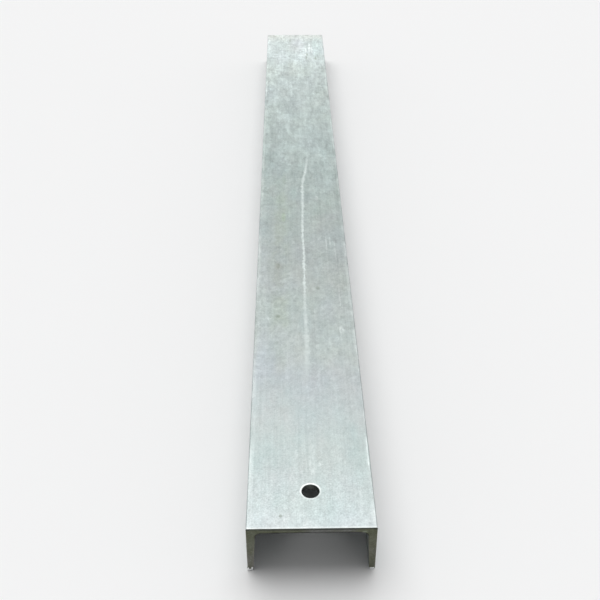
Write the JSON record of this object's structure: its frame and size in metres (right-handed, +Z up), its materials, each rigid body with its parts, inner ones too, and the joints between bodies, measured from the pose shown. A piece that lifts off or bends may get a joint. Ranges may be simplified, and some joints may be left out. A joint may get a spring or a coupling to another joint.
{
  "type": "galvanised hot-rolled steel channel",
  "caption": "Straight length of hot-dip galvanised taper-flange steel channel, cut square, with a round hole through the web near one end.",
  "frame": {"origin": "on the floor plane under the middle of the piece: centre of the bounding box in X and Y, flange toes at Z = 0", "axes": "X across the web from flange to flange, +Y along the length away from the end with the hole, +Z up, from the flange toes to the back of the web"},
  "size_m": [0.1, 1.15, 0.048],
  "materials": {
    "galvanised_steel": "hot-dip galvanised, dull silvery zinc with fine spangle and pale oxide, olive grey where cut"
  },
  "bodies": {
    "root": {"channel": "galvanised_steel"}
  },
  "joints": []
}
